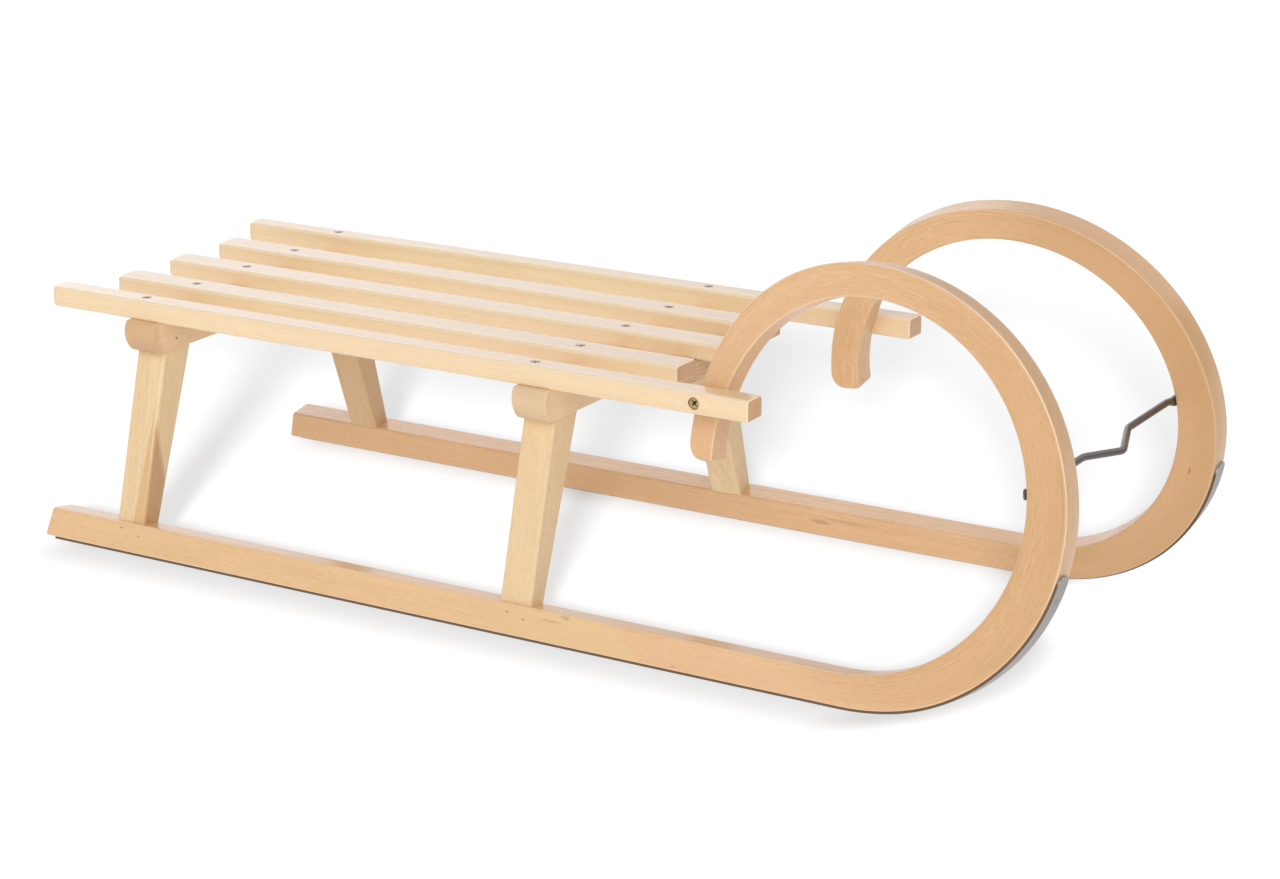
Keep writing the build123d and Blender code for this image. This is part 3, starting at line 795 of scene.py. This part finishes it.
def pullBar():
    # A polyline whose corners are rounded by a moving mean, with a superellipse round it: half sizes *
    # (|cos|^(2/n), |sin|^(2/n)), where n grows from 2 in the rod to 6 in the flat ends.
    outward = rod["tabHalf"] * math.cos(sled["lean"])
    rise = rod["tabHalf"] * math.sin(sled["lean"])
    right = [(rod["tabX"], -rod["tabY"] - outward, rod["tabZ"] + rise),
             (rod["tabX"], -rod["tabY"] + rod["tabInner"] * outward, rod["tabZ"] - rod["tabInner"] * rise),
             (rod["x"], -rod["tabY"] + rod["tabToRod"], rod["z"]),
             (rod["x"], -rod["notchHalf"], rod["z"])]
    middle = [(rod["x"] + rod["notchAhead"], 0.0, rod["z"] - rod["notchDrop"])]
    corners = np.array(right + middle + [(x, -y, z) for x, y, z in reversed(right)])
    distance = pathLength(corners)
    fine = np.linspace(0.0, distance[-1], rod["finePoints"])
    path = resample(corners, distance, fine)
    reach = max(1, int(rod["bend"] / (fine[1] - fine[0]) / 2))
    padded = np.concatenate([2 * path[0] - path[reach:0:-1], path, 2 * path[-1] - path[-2:-reach - 2:-1]])
    kernel = np.ones(2 * reach + 1) / (2 * reach + 1)
    path = np.stack([np.convolve(padded[:, k], kernel, "valid") for k in range(3)], axis=1)
    along = roundedEnds(distance[-1], rod["endRadius"], rod["endRadius"], rod["spacing"], 8)
    line = resample(path, fine, along)
    heading = unit(np.gradient(line, along, axis=0))
    face = np.array([math.cos(rod["tilt"]), 0.0, math.sin(rod["tilt"])])
    across = unit(face - heading * (heading @ face)[:, None])
    up = np.cross(heading, across)
    toEnd = np.minimum(along, distance[-1] - along)
    flat = 1.0 - np.clip((toEnd - 2 * rod["tabHalf"] + rod["flatFrom"]) / rod["flatRun"], 0.0, 1.0)
    flat = flat * flat * (3.0 - 2.0 * flat)
    drawn = shrink(toEnd, rod["endRadius"])
    halfA = rod["radius"] * (1 - flat) + rod["tabFlat"][0] * flat - 0.25 * drawn * flat
    halfB = rod["radius"] * (1 - flat) + rod["tabFlat"][1] * flat - 0.8 * drawn * flat
    power = 2.0 / (2.0 + 4.0 * flat)
    angle = np.linspace(0.0, 2 * math.pi, rod["around"], endpoint=False)
    cosine, sine = np.cos(angle)[None, :], np.sin(angle)[None, :]
    a = halfA[:, None] * np.sign(cosine) * np.abs(cosine) ** power[:, None]
    b = halfB[:, None] * np.sign(sine) * np.abs(sine) ** power[:, None]
    section = np.stack([a, b], axis=2)

    def place(station, s, a, b):
        point = line[station] + across[station] * a[:, None] + up[station] * b[:, None]
        return point[:, 0], point[:, 1], point[:, 2]

    plain = np.zeros(rod["around"])
    return bar("notched_pull_bar", place, along, section, plain, (0.0, 0.0, 0.0), barSteel)


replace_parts(pullBar(), "pull_bar")
print("pull bar is bent")


# Seat slats keep their own meshes.
slatPlaces = [
    # node, y, top
    ("slat_right_outer", -sled["outerSlatY"], sled["outerSlatTop"]),
    ("slat_right_inner", -sled["slatPitch"], sled["innerSlatTop"]),
    ("slat_centre", 0.0, sled["innerSlatTop"]),
    ("slat_left_inner", sled["slatPitch"], sled["innerSlatTop"]),
    ("slat_left_outer", sled["outerSlatY"], sled["outerSlatTop"]),
]
for node, y, top in slatPlaces:
    slatMesh = nodes[node].data
    slatMesh.materials.clear()
    slatMesh.materials.append(slatWood)


# Screws and nails: round heads, some with a cross cut in them.
screw = {
    "rowBack": 0.0051,  # behind the middle of each beam
    "slatHead": 0.0042, "slatThick": 0.0012,
    "slatDrop": 0.0005,  # below the slat's top
    "hornHead": 0.0049, "hornThick": 0.0014, "hornDrop": 0.0012, "hornX": 0.6751, "hornZ": 0.22035,
    "tabHead": 0.0040, "tabLift": 0.0017,
    "flatThick": 0.0008,  # bolt heads and nails
    "nailIn": 0.0013,  # from the middle of the runner
    "nailProud": 0.03,  # share of the strip's thickness
    "hornSpin": 0.8, "tabSpin": 0.4, "nailSpin": 0.2, "spinStep": 0.9,
    "tabDome": 0.55, "nailDome": 0.05, "pit": 0.55, "armWidth": 0.16,
    "armEnd": (0.66, 0.12),  # where the cross ends and how softly, in radii
    "rimDrop": 0.16, "neck": 0.55, "rings": 14, "spokes": 48,
}


def screwHead(name, centre, out, radius, thickness, spin, material=screwSteel, domed=0.12, cross=True):
    # A disc on a polar grid. Height = domed * radius * (1 - r^2), less a pit that is deepest where the
    # smaller of |x| and |y| is 0 and that ends at two thirds of the radius.
    share = np.linspace(0.0, 1.0, screw["rings"])[1:]
    angle = np.linspace(0.0, 2 * math.pi, screw["spokes"], endpoint=False)
    r, turned = np.meshgrid(share, angle, indexing="ij")
    x, y = r * np.cos(turned), r * np.sin(turned)
    height = domed * (1.0 - r ** 2)
    pit = screw["pit"] if cross else 0.0
    arm = np.clip(1.0 - np.minimum(np.abs(x), np.abs(y)) / screw["armWidth"], 0.0, 1.0) ** 0.5
    armEnd, armFade = screw["armEnd"]
    height = height - pit * arm * np.clip((armEnd - r) / armFade, 0.0, 1.0)
    top = np.stack([x, y, height], axis=2)
    rim, under = top[-1:].copy(), top[-1:] * screw["neck"]
    rim[:, :, 2] = -screw["rimDrop"]
    under[:, :, 2] = -thickness / radius
    local = np.concatenate([top, rim, under]).reshape(-1, 3) * radius
    local = np.concatenate([local, [[0.0, 0.0, (domed - pit) * radius], [0.0, 0.0, -thickness]]])
    out = unit(np.array(out, dtype=float))
    side = unit(np.cross(out, [0.0, 0.0, 1.0])) if abs(out[2]) < 0.9 else np.array([1.0, 0.0, 0.0])
    u = side * math.cos(spin) + np.cross(out, side) * math.sin(spin)
    v = np.cross(out, u)
    world = np.array(centre) + local[:, :1] * u + local[:, 1:2] * v + local[:, 2:] * out
    faces = barFaces(len(share) + 2, screw["spokes"])
    return putMesh(name, world, faces, {"grain": local}, material)


spin = 0.3
for node, y, top in slatPlaces:
    for place, x in beamRows:
        spin += screw["spinStep"]
        centre = (x - screw["rowBack"] - half, y, top - screw["slatDrop"])
        screwHead("screw_" + place + node.replace("slat", ""), centre, (0, 0, 1), screw["slatHead"],
                  screw["slatThick"], spin)
for sideName, side in twoSides:
    centre = (screw["hornX"] - half, side * (sled["outerSlatSide"] - screw["hornDrop"]), screw["hornZ"])
    screwHead("horn_screw_" + sideName, centre, (0, side, 0), screw["hornHead"], screw["hornThick"],
              screw["hornSpin"], brassedSteel)
    away = np.array([-math.cos(rod["tilt"]), 0.0, -math.sin(rod["tilt"])])
    centre = np.array([rod["tabX"], side * rod["tabY"], rod["tabZ"]]) + away * screw["tabLift"]
    screwHead("tab_screw_" + sideName, centre, away, screw["tabHead"], screw["flatThick"],
              screw["tabSpin"], domed=screw["tabDome"], cross=False)
stripPath, stripNormals = stripLine()
stripLength = pathLength(stripPath)
for sideName, side in twoSides:
    for number, spot in enumerate((*strip["nailSpots"], stripLength[-1] - strip["nailFromTip"])):
        at, up = resample(stripPath, stripLength, [spot])[0], resample(stripNormals, stripLength, [spot])[0]
        under = at - up * runner["stripThickness"]
        across = np.full(2, runner["thickness"] / 2 - screw["nailIn"])
        face, wood = np.stack(toSled(*np.stack([under, at], axis=1), across, side), axis=1)
        centre = face + (face - wood) * screw["nailProud"]
        screwHead("strip_nail_%d_%s" % (number, sideName), centre, face - wood, strip["nailRadius"],
                  screw["flatThick"], screw["nailSpin"], domed=screw["nailDome"], cross=False)
print("screws are in")


# Studio: pale floor that keeps the shadow, white surroundings, one large low lamp from the camera's side.
studio = {
    "floorSize": 16.0, "floorColour": (0.25, 0.25, 0.255),
    "floorSeen": 0.615,  # glow of the floor for the camera
    "floorGlow": 0.46,  # its glow as a light on the sled
    "farGlow": 0.40,  # added away from the sled
    # Painted shadows on the floor: its glow is lowered beside the runners and between the front bends.
    "contactShade": 0.27,  # taken off close beside the runners
    "contactReach": 0.07,
    "footMiddle": -0.06,  # of the contact part, along x, and half its length
    "footHalf": 0.38,
    "leftNarrow": 3.0,  # how much narrower the contact part is on the left of a foot
    "frontShade": 0.30,  # taken off between the front bends
    "frontReach": 0.038,
    "frontCurve": (0.404, -0.05, 2.2),  # the parabola's top, and how fast it falls back
    "frontSpan": (-0.08, 0.09, 0.16),  # middle in y, where it starts to fade, and ends
    "farRange": (0.6, 2.4), "skyColour": (1.0, 1.0, 1.0), "skyStrength": 0.465, "skySeen": 1.2,
    "mirrorColour": (0.90, 0.915, 0.99),
    "mirrorDim": 0.5,  # what the lacquer mirrors elsewhere
    "mirrorSide": (0.95, 0.25, 0.62),  # added behind the sled on the left, and its range
    "mirrorWindow": (0.8, 0.62, 0.70),  # added farther to the left
    "mirrorHigh": (1.2, 0.28, 0.45),  # added high up
    "mirrorBehind": (0.1, 0.5), "softStrength": 1.45, "softAngle": 45.0,
    "softFrom": (1.1, -2.4, 1.9),
    "edgePower": 4300.0,  # lights only the floor
    "edgeWidth": 1.35, "edgePlace": (4.6, -9.4, 3.45),
}


def floorMaterial():
    # Matt and pale, with a glow that makes the clear floor white and leaves the shadows grey. Glow = base +
    # far part by distance from the sled - a painted contact shadow by distance from the nearer foot line - a
    # painted shadow by distance from a parabola between the bends. It isn't seen from below.
    material, start, output = newMaterial("studioFloor")
    matt = start.node("BsdfDiffuse", None, {"Color": (*studio["floorColour"], 1.0)})
    point = start.node("TexCoord", None, None, 3)
    x, y, z = point.parts()
    distance = (x * x + y * y) ** 0.5
    # Painted contact shadow: by distance from the nearer foot line, narrower on the left.
    beside = y - start.math("SIGN", y) * sled["halfSpan"]
    beside = start.math("MAXIMUM", beside * studio["leftNarrow"], 0.0 - beside)
    beyond = abs(x - studio["footMiddle"]) - studio["footHalf"]
    beyond = start.math("MAXIMUM", beyond, 0.0)
    contact = 1.0 - ((beside * beside + beyond * beyond) ** 0.5).step(0.0, studio["contactReach"])
    # Painted shadow along a parabola between the front bends.
    curveX, curveY, bow = studio["frontCurve"]
    middle, fades, ends = studio["frontSpan"]
    front = abs(x - curveX + (y - curveY) * (y - curveY) * bow)
    front = 1.0 - front.step(0.0, studio["frontReach"])
    front = front * (1.0 - abs(y - middle).step(fades, ends))
    seen = start.node("LightPath", None, None, 0)
    glow = studio["floorSeen"] + distance.step(*studio["farRange"]) * studio["farGlow"]
    glow = glow - contact * studio["contactShade"] - front * studio["frontShade"]
    glow = seen * (glow - studio["floorGlow"]) + studio["floorGlow"]
    light = start.node("Emission", None, {"Color": glow, "Strength": 1.0})
    both = start.node("AddShader", None, {0: matt, 1: light})
    clear = start.node("BsdfTransparent")
    below = start.node("NewGeometry", None, None, 6)
    surface = start.node("MixShader", None, {0: below, 1: both, 2: clear})
    start.tree.links.new(surface.socket, output.inputs[0])
    return material


def floorMesh():
    # A flat square of one face.
    reach = studio["floorSize"] / 2
    corners = [(-reach, -reach, 0.0), (reach, -reach, 0.0), (reach, reach, 0.0), (-reach, reach, 0.0)]
    mesh = bpy.data.meshes.new("floor")
    mesh.from_pydata(corners, [], [(0, 1, 2, 3)])
    mesh.materials.append(floorMaterial())
    floor = newObject("floor", mesh)
    return floor


def aim(lamp, away):
    # Turns a lamp so that it shines along minus the direction away.
    away = unit(np.array(away))
    side = unit(np.cross([0.0, 0.0, 1.0], away))
    up = np.cross(away, side)
    lamp.rotation_euler = Matrix([[side[k], up[k], away[k]] for k in range(3)]).to_euler()


def addLamps(floor):
    # A wide sun for the sled, and a round lamp that shines on the floor alone.
    data = bpy.data.lights.new("softLight", "SUN")
    data.energy = studio["softStrength"]
    data.angle = math.radians(studio["softAngle"])
    aim(newObject("softLight", data), studio["softFrom"])
    data = bpy.data.lights.new("edgeLight", "AREA")
    data.energy = studio["edgePower"]
    data.shape = "DISK"
    data.size = studio["edgeWidth"]
    edge = newObject("edgeLight", data)
    edge.location = studio["edgePlace"]
    aim(edge, studio["edgePlace"])
    receivers = bpy.data.collections.new("edgeLightReceivers")
    receivers.objects.link(floor)
    edge.light_linking.receiver_collection = receivers


def surroundings():
    # White all round. The lacquer mirrors a dimmer room that grows brighter behind the sled: strength =
    # dim + (side + window) * s-curves of how far the ray points to the left + high * s-curve of how far up.
    world = bpy.data.worlds.new("surroundings")
    world.use_nodes = True
    tree = world.node_tree
    tree.nodes.clear()
    start = Wire(tree)
    seen = start.node("LightPath", None, None, 0)
    mirrored = start.node("LightPath", None, None, 3)
    x, y, z = start.node("TexCoord", None, None, 0).parts()
    bright = 0.0
    for key, way in (("mirrorSide", 0.0 - x), ("mirrorWindow", 0.0 - x), ("mirrorHigh", z)):
        amount, low, high = studio[key]
        bright = way.step(low, high) * amount + bright
    mirror = studio["mirrorDim"] + bright * y.step(*studio["mirrorBehind"])
    strength = seen * (studio["skySeen"] - studio["skyStrength"]) + studio["skyStrength"]
    strength = mirrored * (mirror - strength) + strength
    colour = mirrored.blend(studio["skyColour"], studio["mirrorColour"])
    sky = start.node("Background", None, {"Color": colour, "Strength": strength})
    output = tree.nodes.new("ShaderNodeOutputWorld")
    tree.links.new(sky.socket, output.inputs[0])
    bpy.context.scene.world = world


addLamps(floorMesh())
surroundings()
bpy.context.scene.view_settings.view_transform = "Standard"
print("studio is lit")


# Camera: in front, to the right of the sled, looking down at it.
shot = {
    "place": (1.37602, -2.23229, 0.93901), "yaw": 0.543068, "pitch": -0.302412, "roll": 0.003147,
    "lens": 88.0620, "sensor": 36.0,
}


def addCamera():
    # forward = (-sin yaw cos pitch, cos yaw cos pitch, sin pitch); right is level until the roll.
    yaw, pitch, roll = shot["yaw"], shot["pitch"], shot["roll"]
    forward = np.array([-math.sin(yaw) * math.cos(pitch), math.cos(yaw) * math.cos(pitch), math.sin(pitch)])
    level = np.array([math.cos(yaw), math.sin(yaw), 0.0])
    down = np.cross(forward, level)
    right = math.cos(roll) * level + math.sin(roll) * down
    down = -math.sin(roll) * level + math.cos(roll) * down
    data = bpy.data.cameras.new("photoCamera")
    data.lens = shot["lens"]
    data.sensor_width = shot["sensor"]
    data.sensor_fit = "HORIZONTAL"
    camera = newObject("photoCamera", data)
    rows = [[right[k], -down[k], -forward[k], shot["place"][k]] for k in range(3)]
    camera.matrix_world = Matrix(rows + [[0, 0, 0, 1]])
    bpy.context.scene.camera = camera


addCamera()
print("camera is set")
